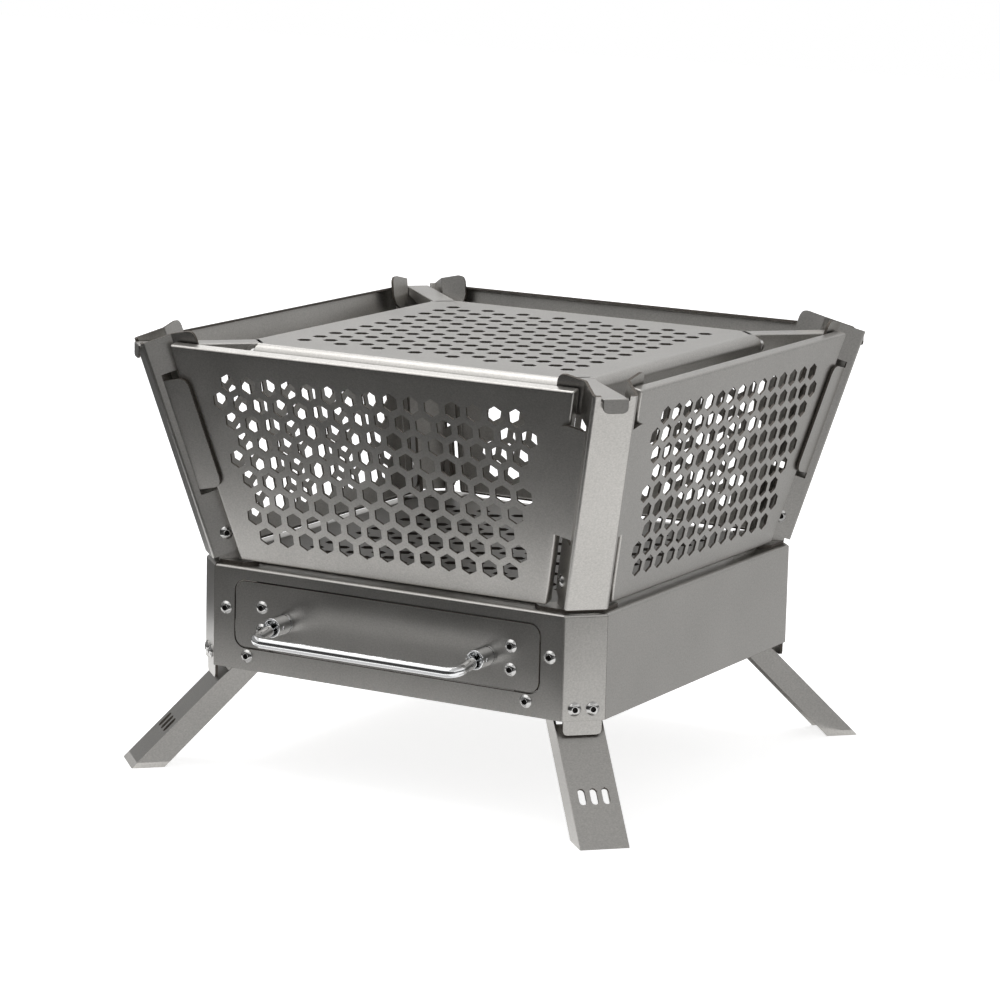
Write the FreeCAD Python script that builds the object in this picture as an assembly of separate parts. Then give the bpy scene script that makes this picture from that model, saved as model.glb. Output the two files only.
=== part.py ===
import FreeCAD, Part
import math
import os
from FreeCAD import Matrix, Placement, Vector

# Portable fire pit: a low sheet-steel base on four folding legs, four leaning corner posts, four
# lift-out side panels with hexagonal openings, a lift-off top plate on four hooked arms, a loose
# fire grate and an ash drawer with a bail handle.
# Millimetres. +Z is up, the drawer faces -Y, and the origin is on the ground below the middle.

# Base box
base_half = 165.0            # middle to the outside of a base wall
base_corner = 22.0           # what each corner loses from a wall's length
base_bottom = 74.0           # ground to the underside of the base
base_height = 75.0
base_sheet = 1.5
base_lip = 25.0              # inward lip along the top edge

# Corner posts
side_lean = 13.5             # how far a side panel leans outward, in degrees
post_width = 31.5
post_flange = 25.0
post_sheet = 2.0
post_rise = 1.5              # top plate to the outer face's upper edge
post_foot_gap = 3.0          # base top to the post's lower edge
tab_low = 51.5               # along the post, from its foot
tab_high = 134.5
tab_reach = 20.5
tab_round = 6.0
lance_slot = 4.5             # relief slot above and below a tab
ear_start = 22.0             # where the ear bends away from the flange
ear_reach = 20.0
ear_round = 5.0
flange_round = 7.0
notch_clearance = 1.0
notch_reach = 6.0            # how far the notch cut runs past the post's face

# Post brackets, whose cheeks carry the post pivots
post_pivot_in = 14.9         # pivot, inward from the outer face
post_pivot_up = 14.9         # pivot, up from the post's foot
bracket_sheet = 2.5
bracket_eye_radius = 8.0
bracket_foot_in = 30.0       # foot plate, inward from the base's corner face
bracket_foot_out = 4.0
bracket_foot_half = 28.0

# Side panels
panel_setback = 7.0          # panel face behind the line of the post corners
panel_edge_gap = 18.5        # panel edge to the post corner, along the panel
panel_slant = 161.0          # height along the slope
panel_sheet = 1.5
panel_return = 7.0
hex_flats = 18.0             # openings as open as the real ones, but fewer and larger, to save faces
hex_pitch = 25.5
hex_side_margin = 19.5
hex_low_margin = 26.0
hex_top_margin = 24.0
panel_clearance = 0.3

# Top plate and its arms
plate_rise = 157.5           # base top to the top of the plate
plate_inset = 21.0           # plate edge, inward from the base wall
plate_sheet = 1.5
plate_roll = 8.0
plate_skirt = 22.0
plate_corner = 21.65         # what the seam takes off a plate corner, along the diagonal
plate_holes = 6              # each way, fewer and larger than the real ones; an even count keeps the middle whole
plate_hole_flats = 19.0
plate_hole_margin = 36.0     # flat deck's edge to the middle of the first hole
arm_width = 18.0
arm_sheet = 1.5
arm_flange = 14.0
arm_flange_tip = 6.0
arm_seam_gap = 0.4
arm_flange_end_gap = 8.0     # arm flange's end to the post's outer face
hook_drop = 10.0
hook_round = 4.0
hook_clearance = 0.4
arm_rest_clearance = 0.3
arm_pivot_out = 7.0          # pivot, outward from the seam
plate_ear_in = 10.0
plate_ear_out = 7.0
plate_ear_drop = 15.5
plate_ear_round = 6.5

# Fire grate
grate_overlap = 7.0          # how far the grate lies on the base lip
grate_sheet = 2.0
grate_clearance = 0.2
grate_corner_gap = 1.5

# Folding legs and their brackets
leg_width = 35.0
leg_depth = 17.0
leg_sheet = 2.0
leg_slope = 45.0             # degrees from the ground when the leg stands
foot_out = 59.7              # foot's outer edge beyond the base's corner face
leg_pin_rise = 8.0           # pin above the underside of the base
leg_pin_depth = 9.0          # pin behind the leg's outer face
leg_pin_radius = 3.0
hole_clearance = 0.05
leg_web_start = 26.0         # outer face starts this far down from the pin
leg_slot_width = 5.0
leg_slot_length = 13.0
leg_slot_pitch = 8.5
leg_slot_place = 84.0        # middle of the slots, down from the pin
leg_bracket_half = 14.6
leg_bracket_sheet = 2.0
leg_bracket_height = 18.0
leg_bracket_low = 2.0
leg_bracket_eye = 7.5
tongue_half = 13.8
tongue_round = 3.0
tongue_clearance = 0.3

# Ash drawer
face_side_margin = 18.5      # drawer front's end to the wall's bend
face_low_margin = 16.8       # base underside to the drawer front
face_high_margin = 10.0      # drawer front to the base top
face_round = 8.0
face_gap = 1.0
face_sheet = 1.5
tray_inset = 1.6             # tray side, inward from the drawer front's end
tray_back_gap = 23.5         # tray to the inside of the back wall
tray_top_gap = 5.7           # tray rim below the drawer front's upper edge
tray_sheet = 1.2
runner_sheet = 1.5
runner_shelf = 25.0
runner_rise = 2.2            # shelf above the drawer front's lower edge
runner_guide = 32.0
runner_side_gap = 0.6
tray_gap = 0.3
low_tab_in = 9.9             # rivet line of the lower runner tab, inward from the drawer front's end
low_tab_half = 9.0
low_tab_drop = 15.0
side_tab_out = 8.2           # rivet line of the upper runner tab, outward from the drawer front's end
side_tab_half = 8.0
side_tab_rise = 27.0         # rivet above the drawer front's lower edge

# Drawer handle
handle_inset = 41.5          # handle end, inward from the drawer front's end
handle_rise = 21.4           # handle above the drawer front's lower edge
socket_radius = 7.0
socket_length = 17.0
socket_bore = 5.5
socket_bore_depth = 12.0
handle_pin_radius = 1.5
handle_pin_depth = 6.0       # pin behind the socket's mouth
bail_radius = 4.0
bail_lug_half = 2.2          # flattened end, half its thickness
bail_lug_rise = 2.6          # and half its height
bail_lug_length = 9.0        # pin to the full bar
bail_reach = 31.0
bail_bend = 9.0
bail_bend_steps = 3
bail_droop = 8.5             # degrees below level at rest

# Values that follow from the sizes above
corner_turn = 45.0           # degrees from a side to the next corner
root2 = 1.0 / math.sin(math.radians(corner_turn))
base_top = base_bottom + base_height
base_inner = base_half - base_sheet
corner_face = (2.0 * base_half - base_corner) / root2
foot_reach = corner_face + foot_out
plate_top = base_top + plate_rise
plate_half = base_half - plate_inset
plate_seam = plate_half * root2 - plate_corner
post_top = plate_top + post_rise
grate_half = base_half - base_lip + grate_overlap
face_half = base_half - base_corner - face_side_margin
face_low = base_bottom + face_low_margin
face_high = base_top - face_high_margin
tray_half = face_half - tray_inset
tray_back = base_inner - tray_back_gap
runner_top = face_low + runner_rise
low_tab_place = face_half - low_tab_in
side_tab_place = face_half + side_tab_out
side_tab_height = face_low + side_tab_rise
handle_half = face_half - handle_inset
handle_height = face_low + handle_rise
lean_slope = math.tan(math.radians(side_lean))
post_lean = math.atan(root2 * lean_slope)
lean_sin = math.sin(post_lean)
lean_cos = math.cos(post_lean)
post_foot = base_top + post_foot_gap
post_length = (post_top - post_foot) / lean_cos
post_foot_radius = corner_face + post_foot_gap * math.tan(post_lean)
flange_line = Vector(1.0 / root2, lean_cos / root2, 0)
flange_line.normalize()
flange_back = Vector(-flange_line.y, flange_line.x, 0)
tab_start = (panel_setback - panel_clearance - post_sheet) / flange_back.y
panel_foot = base_top + bracket_sheet + panel_clearance
panel_run = (panel_foot - base_top) * lean_slope
panel_face = base_half + panel_run - panel_setback / math.cos(math.radians(side_lean))
panel_low_half = base_half - base_corner + panel_run - panel_edge_gap
panel_spread = math.sin(math.radians(side_lean))
leg_sin = math.sin(math.radians(leg_slope))
leg_cos = math.cos(math.radians(leg_slope))
leg_pin_height = base_bottom + leg_pin_rise
leg_pin_place = foot_reach - leg_pin_height * leg_cos / leg_sin - leg_pin_depth / leg_sin
leg_bracket_face = corner_face - base_sheet - leg_bracket_sheet
plate_flat = plate_half - plate_roll
plate_side = plate_seam * root2 - plate_flat
plate_hole_pitch = 2.0 * (plate_flat - plate_hole_margin) / (plate_holes - 1)
arm_pivot_place = plate_seam + arm_pivot_out
notch_floor = plate_top - arm_sheet - arm_rest_clearance
notch_face = corner_face + (notch_floor - base_top) * math.tan(post_lean)
hook_face = notch_face + hook_clearance + arm_sheet
runner_inner = tray_half + runner_side_gap
tray_floor = runner_top + tray_gap
tray_height = face_high - tray_top_gap - tray_floor
handle_pin_place = base_half + socket_length - handle_pin_depth

SIDES = {"front": 0, "right": 2 * corner_turn, "back": 4 * corner_turn, "left": 6 * corner_turn}
CORNERS = {"front_right": -corner_turn, "back_right": corner_turn, "back_left": 3 * corner_turn,
           "front_left": 5 * corner_turn}


def outline_face(points, radii, smooth):
    """Flat face in XY through the points, each corner rounded by its radius: by an arc, or by two chords."""
    starts, middles, ends = [], [], []
    for i, point in enumerate(points):
        here = Vector(point[0], point[1], 0)
        back = Vector(points[i - 1][0], points[i - 1][1], 0) - here
        ahead = Vector(points[(i + 1) % len(points)][0], points[(i + 1) % len(points)][1], 0) - here
        half_angle = back.getAngle(ahead) / 2.0
        back.normalize()
        ahead.normalize()
        bisector = back + ahead
        bisector.normalize()
        starts.append(here + back * (radii[i] / math.tan(half_angle)))
        ends.append(here + ahead * (radii[i] / math.tan(half_angle)))
        middles.append(here + bisector * (radii[i] / math.sin(half_angle) - radii[i]))
    edges = []
    for i, following in enumerate(starts[1:] + starts[:1]):
        if radii[i] > 0 and smooth:
            edges.append(Part.Arc(starts[i], middles[i], ends[i]).toShape())
        elif radii[i] > 0:
            edges.append(Part.LineSegment(starts[i], middles[i]).toShape())
            edges.append(Part.LineSegment(middles[i], ends[i]).toShape())
        if (following - ends[i]).Length > 1e-6:
            edges.append(Part.LineSegment(ends[i], following).toShape())
    return Part.Face(Part.Wire(edges))


def plate(points, thickness, radii=None, smooth=False):
    """Plate on XY with the given outline, standing up by its thickness."""
    return outline_face(points, radii or [0] * len(points), smooth).extrude(Vector(0, 0, thickness))


def placed(shape, origin, x_axis, y_axis):
    """Copy of a shape drawn on XY, moved to an origin with its X and Y along two directions."""
    z_axis = x_axis.cross(y_axis)
    turn = Matrix(x_axis.x, y_axis.x, z_axis.x, origin.x,
                  x_axis.y, y_axis.y, z_axis.y, origin.y,
                  x_axis.z, y_axis.z, z_axis.z, origin.z,
                  0, 0, 0, 1)
    copy = shape.copy()
    copy.Placement = Placement(turn).multiply(shape.Placement)
    return copy


def turned(shape, degrees):
    copy = shape.copy()
    copy.rotate(Vector(0, 0, 0), Vector(0, 0, 1), degrees)
    return copy


def mirrored(shape, normal):
    return shape.mirror(Vector(0, 0, 0), normal)


def block(x, y, z):
    """Box between pairs of limits."""
    return Part.makeBox(x[1] - x[0], y[1] - y[0], z[1] - z[0], Vector(x[0], y[0], z[0]))


def joined(pieces):
    return pieces[0].multiFuse(pieces[1:]).removeSplitter()


# Base box: four bent walls, each with the corner face at its right end and a lip along the top

def wall_line(depth):
    """Outline points of one wall, moved inward by a depth."""
    half = base_half - depth
    corner = base_corner - (2.0 - root2) * depth
    return [(corner - half, -half), (half - corner, -half), (half, corner - half)]


def wall_band(depth):
    return wall_line(0) + wall_line(depth)[::-1]


def base_wall(with_opening):
    side = plate(wall_band(base_sheet), base_height)
    lip = plate(wall_band(base_lip), base_sheet)
    lip.translate(Vector(0, 0, base_height - base_sheet))
    wall = joined([side, lip])
    wall.translate(Vector(0, 0, base_bottom))
    if with_opening:
        wide, low, high = face_half + face_gap, face_low - face_gap, face_high + face_gap
        outline = [(-wide, low), (wide, low), (wide, high), (-wide, high)]
        cutter = plate(outline, 4 * base_sheet, [face_round + face_gap] * 4, True)
        start = Vector(0, 3 * base_sheet - base_half, 0)
        wall = wall.cut(placed(cutter, start, Vector(1, 0, 0), Vector(0, 0, 1)))
    return wall


def drawer_runner():
    """Right-hand runner: a shelf and a side guide, with riveting tabs at both ends."""
    outer = runner_inner + runner_sheet
    low = runner_top - runner_sheet
    profile = [(outer - runner_shelf, low), (outer, low), (outer, runner_top + runner_guide),
               (runner_inner, runner_top + runner_guide), (runner_inner, runner_top),
               (outer - runner_shelf, runner_top)]
    rail = placed(plate(profile, 2 * base_inner), Vector(0, base_inner, 0), Vector(1, 0, 0), Vector(0, 0, 1))
    end = (-base_inner, runner_sheet - base_inner)
    tabs = [block((low_tab_place - low_tab_half, low_tab_place + low_tab_half), end,
                  (runner_top - low_tab_drop, runner_top)),
            block((runner_inner, side_tab_place + side_tab_half), end,
                  (side_tab_height - side_tab_half, side_tab_height + side_tab_half))]
    tabs += [mirrored(tab, Vector(0, 1, 0)) for tab in tabs]
    return joined([rail] + tabs)


# Corner posts, drawn across the post (X), inward (Y) and along it (Z)

def on_post(shape):
    """Shape drawn in the post's own directions, moved to the corner that faces +X."""
    foot = Vector(post_foot_radius, 0, post_foot)
    return placed(shape, foot, Vector(0, 1, 0), Vector(-lean_cos, 0, lean_sin))


def flange_plate(outline, radii):
    """Piece of the post's right flange, drawn as (inward, along)."""
    return placed(plate(outline, post_sheet, radii), Vector(post_width / 2 - post_sheet, 0, 0),
                  Vector(0, 1, 0), Vector(0, 0, 1))


def bent_flap(start, reach, low, high, rounds):
    """Flap bent off the right flange at a depth, to lie along the side panel."""
    edge = Vector(post_width / 2, start, 0)
    outline = [(0, low), (reach, low), (reach, high), (0, high)]
    flap = placed(plate(outline, post_sheet, [0, rounds[0], rounds[1], 0]), edge + flange_back * post_sheet,
                  flange_line, Vector(0, 0, 1))
    inner = edge - Vector(post_sheet, 0, 0)
    back = edge + flange_back * post_sheet
    meet = back - flange_line * ((back.x - inner.x) / flange_line.x)
    root = plate([(p.x, p.y) for p in (edge, back, meet, inner)], high - low)
    root.translate(Vector(0, 0, low))
    return [flap, root]


def corner_post():
    half, inner = post_width / 2, post_width / 2 - post_sheet
    channel = [(-half, tab_start), (-half, 0), (half, 0), (half, tab_start),
               (inner, tab_start), (inner, post_sheet), (-inner, post_sheet), (-inner, tab_start)]
    spine = plate(channel, post_length)
    slot_low, slot_high = tab_low - lance_slot, tab_high + lance_slot
    lower = flange_plate([(tab_start, 0), (post_flange, 0), (post_flange, slot_low), (tab_start, slot_low)],
                         [0, flange_round, 0, 0])
    upper = flange_plate([(tab_start, slot_high), (ear_start, slot_high), (ear_start, post_length),
                          (tab_start, post_length)], [0, 0, 0, 0])
    right = [lower, upper] + bent_flap(tab_start, tab_reach, tab_low, tab_high, [tab_round, tab_round])
    right += bent_flap(ear_start, ear_reach, slot_high, post_length, [2 * ear_round, ear_round])
    left = [mirrored(piece, Vector(1, 0, 0)) for piece in right]
    post = on_post(joined([spine] + right + left))
    notch_half = arm_width / 2 + notch_clearance
    notch = block((notch_face - notch_reach, notch_face + notch_reach), (-notch_half, notch_half),
                  (notch_floor, post_top + notch_reach))
    return post.cut(notch)


def pivot_centre():
    """Post pivot in the corner's (outward, up) plane."""
    out = post_foot_radius - post_pivot_in * lean_cos + post_pivot_up * lean_sin
    return out, post_foot + post_pivot_in * lean_sin + post_pivot_up * lean_cos


def post_bracket():
    out, up = pivot_centre()
    foot_out, foot_in = corner_face - bracket_foot_out, corner_face - bracket_foot_in
    narrow = base_corner / root2 - bracket_foot_out / 2
    wide_at = foot_out - (bracket_foot_half - narrow)
    outline = [(foot_in, -bracket_foot_half), (wide_at, -bracket_foot_half), (foot_out, -narrow),
               (foot_out, narrow), (wide_at, bracket_foot_half), (foot_in, bracket_foot_half)]
    foot = plate(outline, bracket_sheet)
    foot.translate(Vector(0, 0, base_top))
    rise, eye = base_top + bracket_sheet / 2, bracket_eye_radius
    sheet = [(out - 2 * eye, rise), (foot_out, rise), (out + eye, up), (out + eye / 2, up + eye),
             (out - eye / 2, up + eye), (out - eye, up)]
    cheek = placed(plate(sheet, bracket_sheet), Vector(0, post_width / 2 - post_sheet, 0),
                   Vector(1, 0, 0), Vector(0, 0, 1))
    return joined([foot, cheek, mirrored(cheek, Vector(0, 1, 0))])


# Side panels: shallow trays with staggered hexagonal openings, drawn flat and then leaned

def hexagon(x, y, flats):
    corner = flats / math.sqrt(3.0)
    turns = [math.radians(60 * k) for k in range(6)]
    points = [Vector(x + corner * math.sin(turn), y + corner * math.cos(turn), 0) for turn in turns]
    return Part.Face(Part.makePolygon(points + points[:1]))


def hexagon_field():
    row_pitch = hex_pitch * math.sqrt(3.0) / 2
    rows = int((panel_slant - hex_low_margin - hex_top_margin) / row_pitch) + 1
    cells = []
    for row in range(rows):
        y = hex_low_margin + row * row_pitch
        room = panel_low_half + panel_spread * y - hex_side_margin - hex_flats / 2
        shift = 0.5 * (row % 2)
        count = 2 * int(room / hex_pitch + shift) + 1 - row % 2
        cells += [hexagon((i - (count - 1) / 2) * hex_pitch, y, hex_flats) for i in range(count)]
    return cells


def panel_outline(inset):
    """Panel outline, drawn in by an inset."""
    slant_inset = inset * (math.sqrt(1.0 + panel_spread ** 2) - panel_spread)
    low, high = panel_low_half - slant_inset, panel_low_half + panel_spread * panel_slant
    high -= inset * (math.sqrt(1.0 + panel_spread ** 2) + panel_spread)
    return [(-low, inset), (low, inset), (high, panel_slant - inset), (-high, panel_slant - inset)]


def side_panel():
    hollow = plate(panel_outline(panel_sheet), panel_return - panel_sheet)
    field = [cell.extrude(Vector(0, 0, 2 * panel_return)) for cell in hexagon_field()]
    tray = plate(panel_outline(0), panel_return).cut(hollow).cut(Part.Compound(field))
    lean = math.radians(side_lean)
    outward = Vector(0, -math.cos(lean), -math.sin(lean))
    origin = Vector(0, -panel_face, panel_foot) - outward * panel_return
    return placed(tray, origin, Vector(1, 0, 0), Vector(0, -math.sin(lean), math.cos(lean)))


# Top plate with rolled edges and a grid of holes, and the arms that hook over the posts

def top_plate():
    corners = []
    for k in range(4):
        for x, y in ((plate_side, -plate_flat), (plate_flat, -plate_side)):
            turn = math.radians(90 * k)
            corners.append((x * math.cos(turn) - y * math.sin(turn), x * math.sin(turn) + y * math.cos(turn)))
    places = [(k - (plate_holes - 1) / 2) * plate_hole_pitch for k in range(plate_holes)]
    holes = [hexagon(x, y, plate_hole_flats).extrude(Vector(0, 0, plate_sheet)) for x in places for y in places]
    deck = plate(corners, plate_sheet).cut(Part.Compound(holes))
    deck.translate(Vector(0, 0, plate_top - plate_sheet))
    skirt_low = plate_top - plate_skirt
    profile = [(plate_flat - plate_roll, plate_top), (plate_half, plate_top), (plate_half, skirt_low),
               (plate_half - plate_sheet, skirt_low), (plate_half - plate_sheet, plate_top - plate_sheet),
               (plate_flat - plate_roll, plate_top - plate_sheet)]
    roll = plate(profile, 2 * plate_side, [0, plate_roll, 0, 0, plate_roll - plate_sheet, 0], True)
    edge = placed(roll, Vector(0, plate_side, 0), Vector(1, 0, 0), Vector(0, 0, 1))
    ear_out = arm_pivot_place + plate_ear_out
    ear_low, ear_high = plate_top - plate_ear_drop, plate_top - plate_sheet / 2
    outline = [(plate_seam - plate_ear_in, ear_low), (ear_out, ear_low), (ear_out, ear_high),
               (plate_seam - plate_ear_in, ear_high)]
    ear = placed(plate(outline, plate_sheet, [0, plate_ear_round, plate_ear_round, 0]),
                 Vector(0, arm_width / 2 + plate_sheet, 0), Vector(1, 0, 0), Vector(0, 0, 1))
    ears = [ear, mirrored(ear, Vector(0, 1, 0))]
    pieces = [deck] + [turned(edge, angle) for angle in SIDES.values()]
    pieces += [turned(piece, angle) for piece in ears for angle in CORNERS.values()]
    return joined(pieces)


def plate_arm():
    start = plate_seam + arm_seam_gap
    flange_end = notch_face - arm_flange_end_gap
    half, inner = arm_width / 2, arm_width / 2 - arm_sheet
    low, under = plate_top - arm_flange, plate_top - arm_sheet
    channel = [(-half, low), (-inner, low), (-inner, under), (inner, under), (inner, low), (half, low),
               (half, plate_top), (-half, plate_top)]
    beam = placed(plate(channel, flange_end - start), Vector(start, 0, 0), Vector(0, 1, 0), Vector(0, 0, 1))
    taper = [(start + arm_flange, low), (flange_end, plate_top - arm_flange_tip), (flange_end, low)]
    wedge = placed(plate(taper, 2 * arm_width), Vector(0, arm_width, 0), Vector(1, 0, 0), Vector(0, 0, 1))
    beam = beam.cut(wedge)
    tip = plate_top - hook_drop
    tongue = plate([(-half, tip), (half, tip), (half, plate_top), (-half, plate_top)], arm_sheet,
                   [hook_round, hook_round, 0, 0])
    hook = placed(tongue, Vector(hook_face - arm_sheet, 0, 0), Vector(0, 1, 0), Vector(0, 0, 1))
    bridge = block((flange_end, hook_face), (-half, half), (under, plate_top))
    return joined([beam, bridge, hook])


def fire_grate():
    seam = corner_face - bracket_foot_in - grate_corner_gap
    cut = 2 * grate_half - seam * root2
    outline = []
    for k in range(4):
        turn = math.radians(90 * k)
        for x, y in ((grate_half - cut, -grate_half), (grate_half, cut - grate_half)):
            outline.append((x * math.cos(turn) - y * math.sin(turn), x * math.sin(turn) + y * math.cos(turn)))
    grate = plate(outline, grate_sheet)
    grate.translate(Vector(0, 0, base_top + grate_clearance))
    return grate


# Folding legs, drawn across the leg (X), out of its outer face (Y) and down along it (Z)

def on_leg(shape):
    pin = Vector(leg_pin_place, 0, leg_pin_height)
    return placed(shape, pin, Vector(0, 1, 0), Vector(leg_sin, 0, leg_cos))


def leg():
    half, inner = leg_width / 2, leg_width / 2 - leg_sheet
    rear = leg_pin_depth - leg_depth
    face, under = leg_pin_depth, leg_pin_depth - leg_sheet
    channel = [(-half, rear), (-inner, rear), (-inner, under), (inner, under), (inner, rear), (half, rear),
               (half, face), (-half, face)]
    reach = (leg_pin_height + leg_pin_depth * leg_cos) / leg_sin
    body = plate(channel, reach + leg_depth - leg_web_start)
    body.translate(Vector(0, 0, leg_web_start))
    outline = [(rear, rear), (-rear, rear), (-rear, leg_web_start), (rear, leg_web_start)]
    ear = placed(plate(outline, leg_sheet, [-rear, -rear, 0, 0]), Vector(inner, 0, 0),
                 Vector(0, 1, 0), Vector(0, 0, 1))
    pin = Part.makeCylinder(leg_pin_radius, 2 * inner, Vector(-inner, 0, 0), Vector(1, 0, 0))
    body = joined([body, ear, mirrored(ear, Vector(1, 0, 0)), pin])
    for k in (-1, 0, 1):
        radius = leg_slot_width / 2
        side, run = k * leg_slot_pitch, leg_slot_length / 2
        outline = [(side - radius, leg_slot_place - run), (side + radius, leg_slot_place - run),
                   (side + radius, leg_slot_place + run), (side - radius, leg_slot_place + run)]
        slot = plate(outline, 2 * leg_depth, [radius] * 4)
        body = body.cut(placed(slot, Vector(0, leg_depth, 0), Vector(1, 0, 0), Vector(0, 0, 1)))
    ground = block((0, 2 * foot_reach), (-leg_width, leg_width), (-foot_reach, 0))
    return on_leg(body).cut(ground)


def leg_bracket():
    face, back = leg_bracket_face, leg_bracket_face + leg_bracket_sheet
    top = base_bottom + leg_bracket_height
    tongue_low = (foot_reach - face) * leg_sin / leg_cos + tongue_clearance / leg_cos
    web = block((face, back), (-leg_bracket_half, leg_bracket_half), (base_bottom, top))
    tongue_high = base_bottom + tongue_round
    outline = [(-tongue_half, tongue_low), (tongue_half, tongue_low), (tongue_half, tongue_high),
               (-tongue_half, tongue_high)]
    tongue = placed(plate(outline, leg_bracket_sheet, [tongue_round, tongue_round, 0, 0]), Vector(face, 0, 0),
                    Vector(0, 1, 0), Vector(0, 0, 1))
    eye = leg_bracket_eye
    out, up = leg_pin_place, leg_pin_height
    sheet = [(out - eye / 2, up - eye), (face, base_bottom + leg_bracket_low), (face, top),
             (out - eye / 2, up + eye), (out - eye, up + eye / 2), (out - eye, up - eye / 2)]
    cheek = placed(plate(sheet, leg_bracket_sheet), Vector(0, leg_bracket_half, 0),
                   Vector(1, 0, 0), Vector(0, 0, 1))
    bore = Part.makeCylinder(leg_pin_radius + hole_clearance, leg_width,
                             Vector(leg_pin_place, -leg_width / 2, leg_pin_height), Vector(0, 1, 0))
    return joined([web, tongue, cheek, mirrored(cheek, Vector(0, 1, 0))]).cut(bore)


# Ash drawer and its bail handle

def drawer_front():
    outline = [(-face_half, face_low), (face_half, face_low), (face_half, face_high), (-face_half, face_high)]
    return placed(plate(outline, face_sheet, [face_round] * 4, True), Vector(0, face_sheet - base_half, 0),
                  Vector(1, 0, 0), Vector(0, 0, 1))


def drawer_tray():
    front = face_sheet - base_half
    outer = [(-tray_half, front), (tray_half, front), (tray_half, tray_back), (-tray_half, tray_back)]
    half, back = tray_half - tray_sheet, tray_back - tray_sheet
    inner = [(-half, front + tray_sheet), (half, front + tray_sheet), (half, back), (-half, back)]
    box = plate(outer, tray_height)
    hollow = plate(inner, tray_height)
    hollow.translate(Vector(0, 0, tray_sheet))
    tray = box.cut(hollow)
    tray.translate(Vector(0, 0, tray_floor))
    return tray


def handle_socket(x):
    """Round socket with a cross pin in its bore."""
    mouth = Vector(x, -base_half - socket_length, handle_height)
    barrel = Part.makeCylinder(socket_radius, socket_length, mouth, Vector(0, 1, 0))
    bore = Part.makeCylinder(socket_bore, socket_bore_depth, mouth, Vector(0, 1, 0))
    reach = (socket_bore + socket_radius) / 2
    pin = Part.makeCylinder(handle_pin_radius, 2 * reach, Vector(x - reach, -handle_pin_place, handle_height),
                            Vector(1, 0, 0))
    return joined([barrel.cut(bore), pin])


def handle_bail():
    """Round bar bent to a U with flattened ends, drawn level and then drooped about the socket pins."""
    path = [Vector(handle_half, -bail_lug_length, 0)]
    for k in range(bail_bend_steps + 1):
        turn = math.radians(90.0 * k / bail_bend_steps)
        x = handle_half - bail_bend * (1 - math.cos(turn))
        path.append(Vector(x, bail_bend * (1 - math.sin(turn)) - bail_reach, 0))
    path += [Vector(-point.x, point.y, 0) for point in reversed(path)]
    sweep = Part.BRepOffsetAPI.MakePipeShell(Part.makePolygon(path))
    sweep.setTransitionMode(1)
    sweep.add(Part.Wire(Part.makeCircle(bail_radius, path[0], Vector(0, 1, 0))))
    sweep.build()
    sweep.makeSolid()
    pieces = [sweep.shape()]
    for side in (-handle_half, handle_half):
        pieces.append(block((side - bail_lug_half, side + bail_lug_half), (-bail_lug_length, bail_lug_rise),
                            (-bail_lug_rise, bail_lug_rise)))
    bail = joined(pieces)
    bail.rotate(Vector(0, 0, 0), Vector(1, 0, 0), bail_droop)
    bail.translate(Vector(0, -handle_pin_place, handle_height))
    reach = handle_half + socket_radius
    bore = Part.makeCylinder(handle_pin_radius + hole_clearance, 2 * reach,
                             Vector(-reach, -handle_pin_place, handle_height), Vector(1, 0, 0))
    return bail.cut(bore)


def save(name, shapes):
    Part.Compound(shapes).exportStep("parts/" + name + ".step")


def build():
    os.makedirs("parts", exist_ok=True)
    panel = side_panel()
    for side, angle in SIDES.items():
        save("base_wall_" + side, [turned(base_wall(side == "front"), angle)])
        save("side_panel_" + side, [turned(panel, angle)])
    corner_pieces = {"post": corner_post(), "post_bracket": post_bracket(), "leg": leg(),
                     "leg_bracket": leg_bracket(), "plate_arm": plate_arm()}
    for name, piece in corner_pieces.items():
        for corner, angle in CORNERS.items():
            save(name + "_" + corner, [turned(piece, angle)])
    save("top_plate", [top_plate()])
    save("fire_grate", [fire_grate()])
    runner = drawer_runner()
    save("drawer_runner_right", [runner])
    save("drawer_runner_left", [mirrored(runner, Vector(1, 0, 0))])
    save("drawer_front", [drawer_front()])
    save("drawer_tray", [drawer_tray()])
    save("handle_sockets", [handle_socket(-handle_half), handle_socket(handle_half)])
    save("handle_bail", [handle_bail()])


build()
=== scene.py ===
"""Portable fire pit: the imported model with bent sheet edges, perforations, rivets, its bent handle and its
finishes, on a pale studio floor."""
import math

import bmesh
import bpy
from mathutils import Matrix, Quaternion, Vector


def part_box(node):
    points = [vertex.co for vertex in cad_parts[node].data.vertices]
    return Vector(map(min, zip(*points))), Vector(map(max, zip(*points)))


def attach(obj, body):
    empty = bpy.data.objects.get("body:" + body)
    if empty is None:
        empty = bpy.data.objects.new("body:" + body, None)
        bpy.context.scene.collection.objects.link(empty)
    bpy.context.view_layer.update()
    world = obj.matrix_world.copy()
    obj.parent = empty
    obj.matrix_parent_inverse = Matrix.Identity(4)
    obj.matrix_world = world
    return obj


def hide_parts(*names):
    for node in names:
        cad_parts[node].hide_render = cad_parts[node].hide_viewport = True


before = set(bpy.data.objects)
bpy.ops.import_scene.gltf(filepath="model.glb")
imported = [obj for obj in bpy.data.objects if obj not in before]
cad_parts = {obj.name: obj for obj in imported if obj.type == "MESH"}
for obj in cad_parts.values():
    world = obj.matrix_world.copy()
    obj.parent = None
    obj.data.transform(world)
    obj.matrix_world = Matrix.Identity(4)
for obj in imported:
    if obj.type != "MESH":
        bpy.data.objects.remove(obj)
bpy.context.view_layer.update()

bl_info = {
    "name": "Portable Fire Pit",
    "version": (1, 0, 0),
    "blender": (4, 5, 0),
    "location": "View3D > Sidebar > Fire Pit",
    "description": "Dresses the packed fire pit and sets its studio stage",
    "category": "Object",
}

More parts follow.
